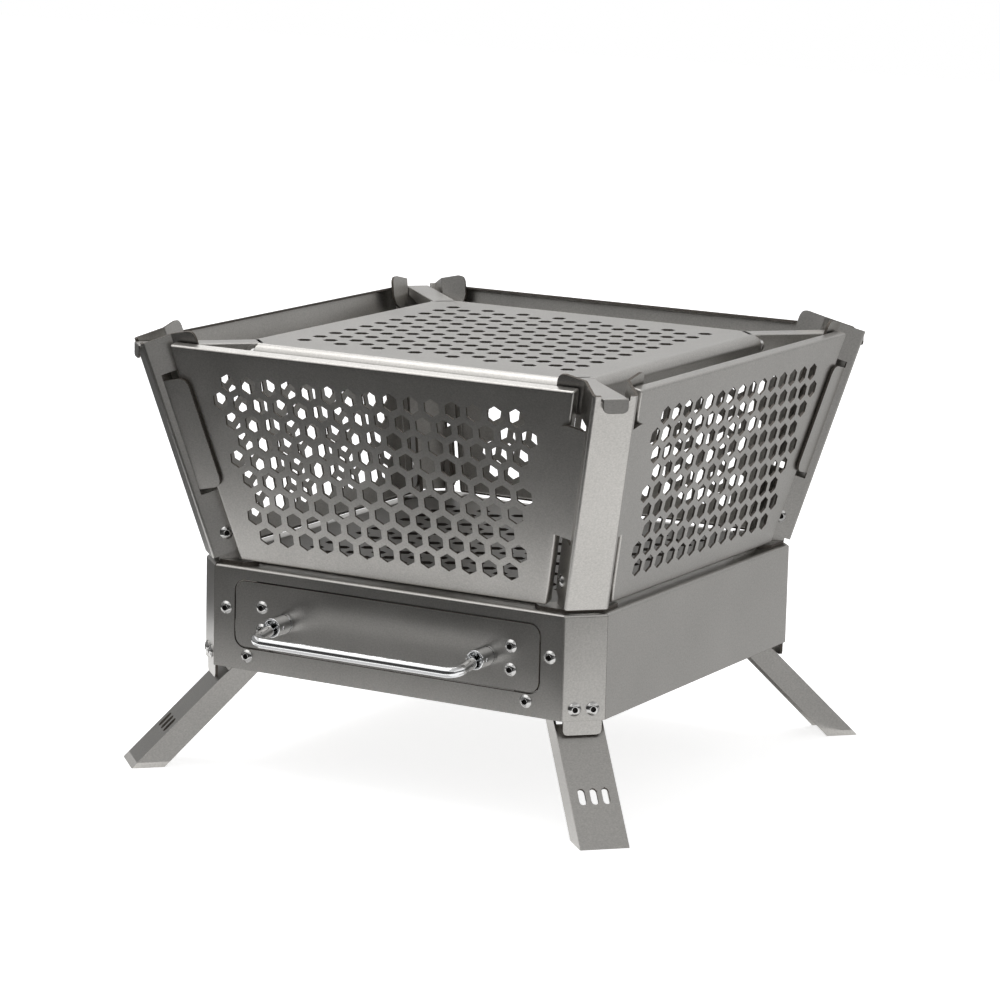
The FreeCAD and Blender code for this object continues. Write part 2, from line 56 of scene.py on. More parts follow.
SIDES = ("front", "right", "back", "left")
CORNERS = ("front_right", "back_right", "back_left", "front_left")
HANDS = ((-1, "left"), (1, "right"))
OPENINGS = (13, 14, 13, 14, 15, 14, 15, 16, 15)     # in each row of a panel, from the lowest
HOLE_FIELDS = ((8, 11), (7, 10))                    # columns and rows of the two staggered fields
SOCKET_RADIUS = 0.007

MERGE = 2e-6                 # vertices closer than this become one
NEAR = 1e-5                  # places closer than this count as the same
LOOSE = 1e-4                 # the same, where pieces were drawn apart
BROAD = 1.3                  # sheet thicknesses; a narrower face is a cut edge
LEAST_BEND = 20              # degrees; a smaller turn is no bend
CORNER_TURN = (20, 50)       # degrees between two chords of a round corner
LONGEST_CHORD = 0.0065       # of a round corner; a longer one is a real flat
FACING = 0.9                 # least part of a normal along the way that a face looks
FLAT = math.radians(0.5)
CUT_EDGE = math.radians(35)
SMOOTH_EDGE = math.radians(32)
DOME_EDGE = math.radians(40)

panel_low, panel_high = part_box("side_panel_front")
plate_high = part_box("top_plate")[1]
grate_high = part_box("fire_grate")[1]
face_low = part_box("drawer_front")[0]
wall_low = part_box("base_wall_front")[0]
socket_low, socket_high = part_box("handle_sockets")
pin_height = (socket_low.z + socket_high.z) / 2


def length(name, description, default):
    return bpy.props.FloatProperty(name=name, description=description, default=default, unit="LENGTH",
                                   precision=5)


def angle(name, description, default):
    return bpy.props.FloatProperty(name=name, description=description, default=math.radians(default),
                                   unit="ROTATION")


def factor(name, description, default):
    return bpy.props.FloatProperty(name=name, description=description, default=default, min=0, max=1,
                                   subtype="FACTOR")


def colour(name, description, default):
    return bpy.props.FloatVectorProperty(name=name, description=description, default=default, size=3, min=0,
                                         max=1, subtype="COLOR")


def count(name, description, default):
    return bpy.props.IntProperty(name=name, description=description, default=default, min=1)


# Sizes and colours that a user would change

class SheetSizes(bpy.types.PropertyGroup):
    bend: length("Bend", "Inside radius of a bent sheet edge", 0.0004)
    bend_steps: count("Bend steps", "Flats that make up a bend", 4)
    edge_break: length("Edge break", "How far a cut edge is broken", 0.00022)
    wall_bend: length("Wall bend", "Inside radius of the base's bends", 0.0013)
    leg_bend: length("Leg bend", "Inside radius of the legs' bends", 0.0016)
    leg_step: length("Leg step", "Step between a leg's face and its ears", 0.001)
    panel_break: length("Panel edge break", "How far a panel's cut edge is broken", 0.00014)
    wall_sheet: length("Wall sheet", "Sheet of the base, panels and top plate", 0.0015)
    post_sheet: length("Post sheet", "Sheet of the posts and legs", 0.002)
    bracket_sheet: length("Bracket sheet", "Sheet of the post brackets", 0.0025)
    tray_sheet: length("Tray sheet", "Sheet of the ash tray", 0.0012)
    hem_half: length("Hem half", "Middle to an end of the hem under the drawer front", 0.104)
    hem_depth: length("Hem depth", "How far that hem reaches inward", 0.007)
    face_gap: length("Face gap", "Gap round the drawer front", 0.001)


class PanelSizes(bpy.types.PropertyGroup):
    lean: angle("Lean", "How far a panel leans outward", 13.5)
    slant: length("Slant", "Panel height along its slope", 0.161)
    fold: length("Fold", "Depth of the folded edges", 0.007)
    low_margin: length("Low margin", "Lower edge to the first row of openings", 0.022)
    pitch: length("Pitch", "Distance between openings", 0.0166)
    flats: length("Flats", "Opening across its flats", 0.0117)
    border: length("Border", "Flat strip inside the folded edges", 0.0045)


class PlateSizes(bpy.types.PropertyGroup):
    flat_half: length("Flat half", "Middle to the start of the rolled edge", 0.136)
    side_half: length("Side half", "Half the length of a rolled edge", 0.12138)
    roll: length("Roll", "Radius of the rolled edge", 0.008)
    roll_steps: count("Roll steps", "Flats that make up the rolled edge", 8)
    skirt: length("Skirt", "Depth of the folded edge", 0.022)
    hole: length("Hole", "Six-sided hole across its flats", 0.0098)
    column: length("Column pitch", "Distance between hole columns", 0.0308)
    row: length("Row pitch", "Distance between holes in a column", 0.021)
    arm: length("Arm", "Width of an arm", 0.018)
    ear_in: length("Ear start", "Middle of the plate to an ear's hidden end", 0.172)
    ear_out: length("Ear end", "Middle of the plate to an ear's round end", 0.196)
    ear_drop: length("Ear drop", "Depth of an ear", 0.0155)
    ear_round: length("Ear round", "Radius of an ear's corners", 0.0065)


class FastenerSizes(bpy.types.PropertyGroup):
    head: length("Head", "Radius of a rivet head", 0.0048)
    rim: length("Rim", "Height of the head's rim", 0.0005)
    dome: length("Dome", "Height of the head's dome", 0.0016)
    bore: length("Bore", "Radius of the hole in the head", 0.0020)
    bore_depth: length("Bore depth", "Depth of that hole", 0.00144)
    bore_taper: length("Bore taper", "How much narrower the hole is at its bottom", 0.0001)
    sides: count("Sides", "Sides of a rivet head", 20)


class HandleSizes(bpy.types.PropertyGroup):
    half: length("Half width", "Middle to a handle end", (socket_high.x - socket_low.x) / 2 - SOCKET_RADIUS)
    bar: length("Bar", "Radius of the bar", 0.004)
    bar_sides: count("Bar sides", "Sides of the bar", 24)
    reach: length("Reach", "Pin to the grip", 0.031)
    bend: length("Bend", "Radius of the bar's bends", 0.009)
    bend_steps: count("Bend steps", "Flats that make up a bend", 12)
    neck: length("Neck", "Pin to the full bar", 0.009)
    taper: length("Taper", "Length over which the bar narrows to its eye", 0.0012)
    eye_wide: factor("Eye width", "Width of an eye as a share of the bar", 0.55)
    eye_high: factor("Eye height", "Height of an eye as a share of the bar", 0.65)
    eye_end: length("Eye end", "How far an eye runs past the pin, beyond its taper", 0.001)
    droop: angle("Droop", "How far the handle hangs below level", 8.5)
    socket: length("Socket", "Outside radius of a socket", SOCKET_RADIUS)
    socket_sides: count("Socket sides", "Sides of a socket", 48)
    socket_bore: length("Socket bore", "Radius of a socket's bore", 0.0055)
    bore_depth: length("Bore depth", "Depth of a socket's bore", 0.012)
    mouth: length("Mouth", "How far a socket's mouth is rounded", 0.0006)
    collar: length("Collar", "Length of a socket's root collar, and of the groove before it", 0.001)
    pin: length("Pin", "Radius of the cross pin", 0.0015)
    pin_sides: count("Pin sides", "Sides of the cross pin", 16)
    pin_depth: length("Pin depth", "Socket mouth to the cross pin", 0.006)
    pin_break: length("Pin edge break", "How far the cross pin's ends are broken", 0.0003)
    proud: length("Pin proud", "How far the cross pin stands out of its socket", 0.0004)


class FinishColours(bpy.types.PropertyGroup):
    steel: colour("Steel", "Satin stainless sheet", (0.45, 0.438, 0.418))
    grate: colour("Grate", "Fire grate and ash tray", (0.27, 0.264, 0.255))
    rivet: colour("Rivet", "Polished rivet heads", (0.54, 0.535, 0.525))
    chrome: colour("Chrome", "Plated handle", (0.79, 0.795, 0.80))
    cut_wall: colour("Cut wall", "Cut edges and punched holes", (0.13, 0.117, 0.104))
    # Near-black colour of a rivet's bore: painted shade, which stands in for the shade deep in the hole
    dark: colour("Dark", "Inside of a rivet", (0.022, 0.021, 0.02))
    steel_roughness: factor("Steel roughness", "Roughness of the satin sheet", 0.31)
    grate_roughness: factor("Grate roughness", "Roughness of the fire grate and ash tray", 0.38)
    rivet_roughness: factor("Rivet roughness", "Roughness of the rivet heads", 0.17)
    chrome_roughness: factor("Chrome roughness", "Roughness of the plated handle", 0.07)
    cut_wall_roughness: factor("Cut roughness", "Roughness of the cut edges", 0.6)
    dark_roughness: factor("Dark roughness", "Roughness inside a rivet", 0.5)
    steel_grain: factor("Steel grain", "How strongly grain shows on satin sheet", 0.14)
    rivet_grain: factor("Rivet grain", "How strongly grain shows on rivet heads", 0.05)
    chrome_grain: factor("Chrome grain", "How strongly grain shows on the handle", 0.02)
    cut_wall_grain: factor("Cut grain", "How strongly grain shows on cut edges", 0.2)


class StageSizes(bpy.types.PropertyGroup):
    azimuth: angle("Azimuth", "Camera direction round the object, from the front to the right", 29.519)
    elevation: angle("Elevation", "Camera direction above level", 11.776)
    distance: length("Distance", "Camera to the middle of the object", 2.77685)
    middle: length("Middle", "Height of the point that the distance is measured from", 0.150)
    roll: angle("Roll", "Turn of the camera about its own line of sight", 1.399)
    aim_right: length("Aim right", "Line of sight beside that point", -0.00178)
    aim_up: length("Aim up", "Line of sight above that point", 0.03494)
    lens: bpy.props.FloatProperty(name="Lens", description="Focal length in millimetres", default=136.0,
                                  min=1, subtype="DISTANCE_CAMERA")
    floor: length("Floor", "Half the width of the floor", 6.0)
    floor_colour: colour("Floor colour", "Pale floor", (0.82, 0.82, 0.82))
    floor_glow: factor("Floor glow", "How much whiter the floor looks than its light makes it", 0.74)
    soft_light: factor("Soft light", "Strength of the light from all round", 0.45)


GROUPS = (("fire_pit_sheet", SheetSizes), ("fire_pit_panel", PanelSizes), ("fire_pit_plate", PlateSizes),
          ("fire_pit_fastener", FastenerSizes), ("fire_pit_handle", HandleSizes),
          ("fire_pit_finish", FinishColours), ("fire_pit_stage", StageSizes))


# Working in object and edit mode

def close_edit():
    bpy.ops.object.mode_set(mode="OBJECT")


def clear():
    """Leaves edit mode and selects nothing, so that a new primitive is the only thing selected."""
    if bpy.context.object and bpy.context.object.mode != "OBJECT":
        close_edit()
    bpy.ops.object.select_all(action="DESELECT")


def only(obj):
    """Leaves one object selected and active, in object mode."""
    clear()
    obj.select_set(True)
    bpy.context.view_layer.objects.active = obj


def added(name):
    """Names the primitive that was just added."""
    obj = bpy.context.object
    obj.name = obj.data.name = name
    return obj


def apply_place():
    """Puts the selected object's place, turn and scale in its mesh."""
    bpy.ops.object.transform_apply(location=True, rotation=True, scale=True)


def plane(name, wide, deep, place, turn=(0, 0, 0)):
    """Rectangle with its place in its mesh."""
    clear()
    bpy.ops.mesh.primitive_plane_add(size=1, location=place, rotation=turn)
    obj = added(name)
    obj.scale = (wide, deep, 1)
    apply_place()
    return obj


def cylinder(name, sides, radius, depth, height, turn=(0, 0, 0)):
    """Cylinder on the upright axis, with its place in its mesh."""
    clear()
    bpy.ops.mesh.primitive_cylinder_add(vertices=sides, radius=radius, depth=depth, location=(0, 0, height),
                                        rotation=turn)
    obj = added(name)
    apply_place()
    return obj


def paint(obj, *finishes):
    """Adds material slots to an object."""
    for finish in finishes:
        obj.data.materials.append(finish)


def edit(obj):
    """Opens an object's mesh in edit mode with all of it selected."""
    only(obj)
    bpy.ops.object.mode_set(mode="EDIT")
    bpy.ops.mesh.select_mode(type="FACE")
    bpy.ops.mesh.select_all(action="SELECT")


def pick(obj, kind, test):
    """Selects the faces, edges or vertices of the edited mesh that pass a test."""
    bpy.ops.mesh.select_mode(type=kind)
    bpy.ops.mesh.select_all(action="DESELECT")
    mesh = bmesh.from_edit_mesh(obj.data)
    parts = {"FACE": mesh.faces, "EDGE": mesh.edges, "VERT": mesh.verts}[kind]
    parts.ensure_lookup_table()
    chosen = [part for part in parts if test(part)]
    for part in chosen:
        part.select_set(True)
    mesh.select_flush_mode()
    bmesh.update_edit_mesh(obj.data)
    return len(chosen)


def must_pick(obj, kind, test):
    """Selects parts as pick does, and stops the script if there are none."""
    if not pick(obj, kind, test):
        raise RuntimeError(obj.name + " has nothing to select for this step")


def middle(edge):
    return (edge.verts[0].co + edge.verts[1].co) / 2


def extrude(move):
    bpy.ops.mesh.extrude_region_move(TRANSFORM_OT_translate={"value": move})


def bevel(offset, steps, affect="EDGES", clamp=False):
    """Rounds the selected edges or corners of the edited mesh."""
    bpy.ops.mesh.bevel(offset_type="OFFSET", offset=offset, segments=steps, affect=affect,
                       clamp_overlap=clamp)


def weld(threshold):
    """Merges doubled vertices of the edited mesh and turns its faces outward."""
    bpy.ops.mesh.select_all(action="SELECT")
    bpy.ops.mesh.remove_doubles(threshold=threshold)
    bpy.ops.mesh.normals_make_consistent(inside=False)


def modify(obj, kind, **settings):
    """Adds a modifier, sets it and applies it."""
    only(obj)
    bpy.ops.object.modifier_add(type=kind)
    modifier = obj.modifiers[-1]
    for key, value in settings.items():
        setattr(modifier, key, value)
    bpy.ops.object.modifier_apply(modifier=modifier.name)


def repeat(obj, number, step):
    """Repeats an object's mesh along a line."""
    modify(obj, "ARRAY", count=number, use_relative_offset=False, use_constant_offset=True,
           constant_offset_displace=step)


def finish_edges(obj, width):
    """Breaks the cut edges, and keeps flats flat where they run into a bend."""
    modify(obj, "BEVEL", width=width, segments=1, limit_method="ANGLE", angle_limit=CUT_EDGE, material=1)
    smooth(obj)


def smooth(obj):
    """Shades bends round and flats flat."""
    only(obj)
    bpy.ops.object.shade_smooth_by_angle(angle=SMOOTH_EDGE)
    modify(obj, "WEIGHTED_NORMAL", keep_sharp=True, weight=90)


def settle(obj, body, *nodes, slot="stainless", finish=None):
    """Gives a finished piece its body and the nodes it stands for, with its place in its mesh. The slot
    argument is not used.
    """
    only(obj)
    apply_place()
    if finish:
        obj.data.materials.clear()
        paint(obj, finish)
    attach(obj, body)
    if nodes:
        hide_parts(*nodes)


def copy_of(obj, name):
    """Copy of an object with its own mesh."""
    only(obj)
    bpy.ops.object.duplicate(linked=False)
    return added(name)


def turned_copy(obj, name, quarter_turns):
    """Copy of an object, turned about the upright axis."""
    copy = copy_of(obj, name)
    copy.rotation_euler.z = math.radians(90 * quarter_turns)
    apply_place()
    return copy


def join(pieces, name):
    """Joins objects into the first one."""
    only(pieces[0])
    for piece in pieces:
        piece.select_set(True)
    bpy.ops.object.join()
    return added(name)


def cut(obj, cutter):
    """Takes a cutter's shape out of an object, and the cutter away."""
    modify(obj, "BOOLEAN", operation="DIFFERENCE", solver="EXACT", material_mode="TRANSFER", object=cutter)
    bpy.data.objects.remove(cutter)


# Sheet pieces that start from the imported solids

def merged_copy(node, name):
    """Copy of a CAD node's mesh, merged into one skin whose flat faces are whole."""
    clear()
    obj = bpy.data.objects.new(name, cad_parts[node].data.copy())
    obj.data.name = name
    bpy.context.scene.collection.objects.link(obj)
    obj.data.materials.clear()
    only(obj)
    bpy.ops.mesh.customdata_custom_splitnormals_clear()
    edit(obj)
    bpy.ops.mesh.remove_doubles(threshold=MERGE)
    bpy.ops.mesh.dissolve_limited(angle_limit=FLAT)
    close_edit()
    return obj


def broad(face, sheet):
    """True for a face of the sheet, and false for its cut edge."""
    perimeter = sum(edge.calc_length() for edge in face.edges)
    return 2 * face.calc_area() / perimeter > BROAD * sheet


def bend_angle(edge, sheet):
    """Angle of a bend line between two sheet faces, or 0 for any other edge."""
    if len(edge.link_faces) != 2 or not all(broad(face, sheet) for face in edge.link_faces):
        return 0
    return round(math.degrees(edge.calc_face_angle()))


def round_bends(obj, sheet, radius, steps):
    """Rounds the bend lines of a sheet piece, outside and inside, the sharpest ones first."""
    for convex, size in ((True, radius), (False, radius - sheet)):
        edit(obj)
        edges = [edge for edge in bmesh.from_edit_mesh(obj.data).edges if edge.is_convex == convex]
        turns = {bend_angle(edge, sheet) for edge in edges}
        for turn in sorted((turn for turn in turns if turn >= LEAST_BEND), reverse=True):
            if pick(obj, "EDGE", lambda e: e.is_convex == convex and bend_angle(e, sheet) == turn):
                bevel(size * math.tan(math.radians(turn) / 2), steps, clamp=True)
        close_edit()


def dress(obj, sheet, finish):
    """Gives a sheet piece its finish, and its cut edges a darker one."""
    paint(obj, finish, cut_wall())
    edit(obj)
    if pick(obj, "FACE", lambda f: not broad(f, sheet)):
        obj.active_material_index = 1
        bpy.ops.object.material_slot_assign()
    close_edit()


def outline_turn(edge, sheet):
    """Length of the shorter chord at a corner of the sheet's outline, or 0 for any other edge."""
    if len(edge.link_faces) != 2 or any(broad(face, sheet) for face in edge.link_faces):
        return 0
    least, most = CORNER_TURN
    if not least < math.degrees(edge.calc_face_angle()) < most:
        return 0
    chord = min(face.calc_area() for face in edge.link_faces) / edge.calc_length()
    return round(chord, 4) if chord < LONGEST_CHORD else 0


def soften_outline(obj, sheet):
    """Turns the chords at the outline's corners into round ones."""
    edit(obj)
    chords = {outline_turn(edge, sheet) for edge in bmesh.from_edit_mesh(obj.data).edges}
    for chord in sorted(chords - {0}):
        if pick(obj, "EDGE", lambda e: outline_turn(e, sheet) == chord):
            bevel(chord / 3, steps=3)
            bpy.ops.mesh.select_all(action="SELECT")
            bpy.ops.mesh.dissolve_degenerate(threshold=MERGE)
    close_edit()


def plain_piece(node, name, sheet, finish):
    """Sheet piece from a CAD node, with its finish and sharp bends."""
    obj = merged_copy(node, name)
    dress(obj, sheet, finish)
    return obj


def close_steps(obj, step):
    """Closes the small steps at the ends of the bend lines, so that a wide bend can run past them."""
    edit(obj)
    must_pick(obj, "EDGE", lambda e: abs(e.calc_length() - step) < NEAR)
    bpy.ops.mesh.merge(type="COLLAPSE")
    close_edit()


def bent_piece(node, name, sheet, finish, bend, step=0):
    """Sheet piece from a CAD node, with rounded bends and broken edges."""
    sizes = bpy.context.scene.fire_pit_sheet
    obj = plain_piece(node, name, sheet, finish)
    if step:
        close_steps(obj, step)
    soften_outline(obj, sheet)
    round_bends(obj, sheet, sheet + bend, sizes.bend_steps)
    finish_edges(obj, sizes.edge_break)
    return obj


def corner_pieces(stem, sheet, finish, bodies, bend, step=0):
    """Bent piece at the first corner, copied round to the other three."""
    first = bent_piece(stem + "_" + CORNERS[0], stem + "_sheet_" + CORNERS[0], sheet, finish, bend, step)
    made = [first] + [turned_copy(first, stem + "_sheet_" + CORNERS[k], k) for k in (1, 2, 3)]
    for piece, corner, body in zip(made, CORNERS, bodies):
        settle(piece, body, stem + "_" + corner)


# Finishes

# Scale, detail and limits of the noises that make up a finish. The last two limits are of its colour and
# its roughness
FINE = (1500, 2, (-0.5, 0.5))
SPECK = (800, 1, (-0.5, 0.5))
CLOUD = (13, 3, (0.965, 1.035))
SMUDGE = (34, 5, (-0.012, 0.028))
NOISE_RANGE = (0.3, 0.7)     # the part of a noise that is spread between its limits
STRETCH = (0.5, 0.5, 1.0)    # of the fine noise
GRIT = 0.01                  # roughness that the grain adds


def link(tree, start, end):
    tree.links.new(start, end)


def node(tree, kind, **settings):
    made = tree.nodes.new(kind)
    for key, value in settings.items():
        setattr(made, key, value)
    return made


def calculate(tree, operation, *values):
    """Output of a math node that is given links and plain numbers."""
    made = node(tree, "ShaderNodeMath", operation=operation)
    for socket, value in zip(made.inputs, values):
        if isinstance(value, bpy.types.NodeSocket):
            link(tree, value, socket)
        else:
            socket.default_value = value
    return made.outputs["Value"]


def noise(tree, vector, scale, detail, limits):
    """Value from a noise, spread between two limits."""
    made = node(tree, "ShaderNodeTexNoise")
    made.inputs["Scale"].default_value = scale
    made.inputs["Detail"].default_value = detail
    link(tree, vector, made.inputs["Vector"])
    spread = node(tree, "ShaderNodeMapRange")
    for name, number in zip(("From Min", "From Max", "To Min", "To Max"), NOISE_RANGE + limits):
        spread.inputs[name].default_value = number
    link(tree, made.outputs["Fac"], spread.inputs["Value"])
    return spread.outputs["Result"]


def satin_grain():
    """Node group: the grain, soft clouding and faint smudges of satin steel."""
    group = bpy.data.node_groups.get("Satin Grain")
    if group:
        return group
    group = bpy.data.node_groups.new("Satin Grain", "ShaderNodeTree")
    sockets = (("Vector", "INPUT", "NodeSocketVector"), ("Base", "INPUT", "NodeSocketColor"),
               ("Roughness", "INPUT", "NodeSocketFloat"), ("Depth", "INPUT", "NodeSocketFloat"),
               ("Colour", "OUTPUT", "NodeSocketColor"), ("Roughness", "OUTPUT", "NodeSocketFloat"))
    for name, side, kind in sockets:
        group.interface.new_socket(name, in_out=side, socket_type=kind)
    start = node(group, "NodeGroupInput").outputs
    end = node(group, "NodeGroupOutput").inputs
    stretch = node(group, "ShaderNodeMapping")
    stretch.inputs["Scale"].default_value = STRETCH
    link(group, start["Vector"], stretch.inputs["Vector"])
    fine = noise(group, stretch.outputs["Vector"], *FINE)
    speck = noise(group, start["Vector"], *SPECK)
    cloud = noise(group, start["Vector"], *CLOUD)
    smudge = noise(group, start["Vector"], *SMUDGE)
    grain = calculate(group, "ADD", fine, speck)
    tint = node(group, "ShaderNodeVectorMath", operation="SCALE")
    link(group, start["Base"], tint.inputs[0])
    link(group, calculate(group, "MULTIPLY_ADD", grain, start["Depth"], cloud), tint.inputs["Scale"])
    link(group, tint.outputs["Vector"], end["Colour"])
    rough = calculate(group, "ADD", start["Roughness"], smudge)
    link(group, calculate(group, "MULTIPLY_ADD", grain, GRIT, rough), end["Roughness"])
    return group


def metal(name, kind, grained):
    """Metal with the colour and roughness of one kind and the grain of the same or another kind."""
    made = bpy.data.materials.get(name)
    if made:
        return made
    made = bpy.data.materials.new(name)
    made.use_nodes = True
    tree = made.node_tree
    surface = tree.nodes["Principled BSDF"]
    surface.inputs["Metallic"].default_value = 1.0
    place = node(tree, "ShaderNodeTexCoord")
    grain = node(tree, "ShaderNodeGroup", node_tree=satin_grain())
    link(tree, place.outputs["Object"], grain.inputs["Vector"])
    finish = bpy.context.scene.fire_pit_finish
    grain.inputs["Base"].default_value = (*getattr(finish, kind), 1)
    grain.inputs["Roughness"].default_value = getattr(finish, kind + "_roughness")
    grain.inputs["Depth"].default_value = getattr(finish, grained + "_grain")
    link(tree, grain.outputs["Colour"], surface.inputs["Base Color"])
    link(tree, grain.outputs["Roughness"], surface.inputs["Roughness"])
    return made


def steel():
    return metal("satin_steel", "steel", "steel")


def fire_steel():
    return metal("fire_steel", "grate", "steel")


def rivet_steel():
    return metal("rivet_steel", "rivet", "rivet")


def chrome():
    return metal("bright_chrome", "chrome", "chrome")


def cut_wall():
    return metal("cut_wall", "cut_wall", "cut_wall")


# Near-black finish of a rivet's bore: painted shade in the hole
def rivet_bore_shade():
    return metal("rivet_bore_painted_shade", "dark", "cut_wall")


# Base

def opening_hem(sizes):
    """Hem along the lower edge of the drawer opening, which closes the gap under the drawer front."""
    place = (0, wall_low.y + sizes.wall_sheet + sizes.hem_depth / 2, face_low.z - sizes.face_gap)
    hem = plane("opening_hem", 2 * sizes.hem_half, sizes.hem_depth, place)
    paint(hem, steel(), cut_wall())
    modify(hem, "SOLIDIFY", thickness=sizes.wall_sheet, offset=-1, material_offset_rim=1)
    finish_edges(hem, sizes.edge_break)
    return hem


class FIREPIT_OT_base_walls(bpy.types.Operator):
    """Bend the four base walls"""
    bl_idname = "firepit.base_walls"
    bl_label = "Base Walls"

    def execute(self, context):
        sizes = context.scene.fire_pit_sheet
        sheet, bend = sizes.wall_sheet, sizes.wall_bend
        plain = bent_piece("base_wall_right", "wall_sheet_right", sheet, steel(), bend)
        front = bent_piece("base_wall_front", "front_wall", sheet, steel(), bend)
        front = join([front, opening_hem(sizes)], "wall_sheet_front")
        pieces = {"front": front, "right": plain, "back": turned_copy(plain, "wall_sheet_back", 1),
                  "left": turned_copy(plain, "wall_sheet_left", 2)}
        for side, piece in pieces.items():
            settle(piece, "base", "base_wall_" + side)
        return {"FINISHED"}


class FIREPIT_OT_corner_posts(bpy.types.Operator):
    """Bend the four corner posts and their brackets"""
    bl_idname = "firepit.corner_posts"
    bl_label = "Corner Posts"

    def execute(self, context):
        sizes = context.scene.fire_pit_sheet
        corner_pieces("post", sizes.post_sheet, steel(), ["base"] * 4, sizes.bend)
        corner_pieces("post_bracket", sizes.bracket_sheet, steel(), ["base"] * 4, sizes.bend)
        return {"FINISHED"}


class FIREPIT_OT_legs(bpy.types.Operator):
    """Bend the four folding legs and their brackets"""
    bl_idname = "firepit.legs"
    bl_label = "Folding Legs"

    def execute(self, context):
        sizes = context.scene.fire_pit_sheet
        bodies = ["leg_" + corner for corner in CORNERS]
        corner_pieces("leg", sizes.post_sheet, steel(), bodies, sizes.leg_bend, sizes.leg_step)
        corner_pieces("leg_bracket", sizes.post_sheet, steel(), ["base"] * 4, sizes.bend)
        return {"FINISHED"}


# Side panels

def opening_web(sizes):
    """Flat web of hexagonal cells in staggered rows, each cell opened by an inset."""
    rows = []
    for k, number in enumerate(OPENINGS):
        clear()
        start = -(number - 1) / 2 * sizes.pitch
        height = sizes.low_margin + sizes.pitch * math.sqrt(3) / 2 * k
        bpy.ops.mesh.primitive_circle_add(vertices=6, radius=sizes.pitch / math.sqrt(3), fill_type="NGON",
                                          location=(start, height, 0))
        row = added("opening_row")
        repeat(row, number, (sizes.pitch, 0, 0))
        apply_place()
        rows.append(row)
    web = join(rows, "panel_web")
    edit(web)
    bpy.ops.mesh.remove_doubles(threshold=LOOSE)
    bpy.ops.mesh.inset(thickness=(sizes.pitch - sizes.flats) / 2, use_individual=True, use_even_offset=True)
    bpy.ops.mesh.delete(type="FACE")
    close_edit()
    return web


def panel_border(sizes):
    """Border of the panel with a flat strip inside its bend lines."""
    high = panel_high.x
    low = high - math.sin(sizes.lean) * sizes.slant
    border = plane("panel_border", 2 * low, sizes.slant, (0, sizes.slant / 2, 0))
    edit(border)
    must_pick(border, "EDGE", lambda e: middle(e).y > sizes.slant - NEAR)
    bpy.ops.transform.resize(value=(high / low, 1, 1), center_override=(0, sizes.slant, 0))
    bpy.ops.mesh.select_mode(type="FACE")
    bpy.ops.mesh.select_all(action="SELECT")
    bpy.ops.mesh.inset(thickness=sizes.border, use_even_offset=True)
    bpy.ops.mesh.delete(type="FACE")
    close_edit()
    return border


def on_outer_edge(edge, sizes):
    """True for an edge that lies along the flat panel's outline."""
    def outside(place):
        half = panel_high.x - math.sin(sizes.lean) * (sizes.slant - place.y)
        return place.y < NEAR or place.y > sizes.slant - NEAR or abs(place.x) > half - NEAR
    return all(outside(vertex.co) for vertex in edge.verts)


def flat_panel(sizes, sheet):
    """Panel drawn flat: web and border filled together, folded back at four edges and made solid."""
    panel = join([panel_border(sizes), opening_web(sizes)], "side_panel_sheet")
    edit(panel)
    must_pick(panel, "EDGE", lambda e: e.is_boundary and not on_outer_edge(e, sizes)
              and not is_opening_rim(e, sizes))
    bpy.ops.mesh.fill(use_beauty=True)
    bpy.ops.mesh.select_all(action="SELECT")
    bpy.ops.mesh.normals_make_consistent(inside=False)
    must_pick(panel, "EDGE", lambda e: e.is_boundary and on_outer_edge(e, sizes))
    extrude((0, 0, -sizes.fold))
    must_pick(panel, "EDGE", lambda e: not e.is_boundary and on_outer_edge(e, sizes)
              and max(v.co.z for v in e.verts) > -NEAR)
    bends = bpy.context.scene.fire_pit_sheet
    bevel(sheet + bends.bend, bends.bend_steps)
    close_edit()
    paint(panel, steel(), cut_wall())
    modify(panel, "SOLIDIFY", thickness=sheet, offset=-1, use_even_offset=True, material_offset_rim=1)
    return panel


def is_opening_rim(edge, sizes):
    """True for an edge of a hexagonal opening, by its length."""
    return abs(edge.calc_length() - sizes.flats / math.sqrt(3)) < 2 * LOOSE


class FIREPIT_OT_side_panels(bpy.types.Operator):
    """Perforate and fold the side panels"""
    bl_idname = "firepit.side_panels"
    bl_label = "Side Panels"

    def execute(self, context):
        sizes = context.scene.fire_pit_panel
        sheets = context.scene.fire_pit_sheet
        panel = flat_panel(sizes, sheets.wall_sheet)
        finish_edges(panel, sheets.panel_break)
        panel.rotation_euler.x = math.pi / 2 + sizes.lean
        panel.location = (0, panel_low.y + sizes.slant * math.sin(sizes.lean), panel_low.z)
        apply_place()
        made = [panel] + [turned_copy(panel, "panel_sheet_" + SIDES[k], k) for k in (1, 2, 3)]
        panel.name = panel.data.name = "panel_sheet_front"
        for piece, side in zip(made, SIDES):
            settle(piece, "panel_" + side, "side_panel_" + side)
        return {"FINISHED"}


# Top plate, its arms and the fire grate

def punch_holes(obj, sizes, top):
    """Punches two staggered fields of six-sided holes with dark walls, centred on the middle."""
    depth = 4 * bpy.context.scene.fire_pit_sheet.wall_sheet
    for columns, rows in HOLE_FIELDS:
        punch = cylinder("hole_cutter", 6, sizes.hole / math.sqrt(3), depth, top)
        paint(punch, cut_wall())
        repeat(punch, columns, (sizes.column, 0, 0))
        repeat(punch, rows, (0, sizes.row, 0))
        punch.location = (-(columns - 1) / 2 * sizes.column, -(rows - 1) / 2 * sizes.row, 0)
        apply_place()
        cut(obj, punch)


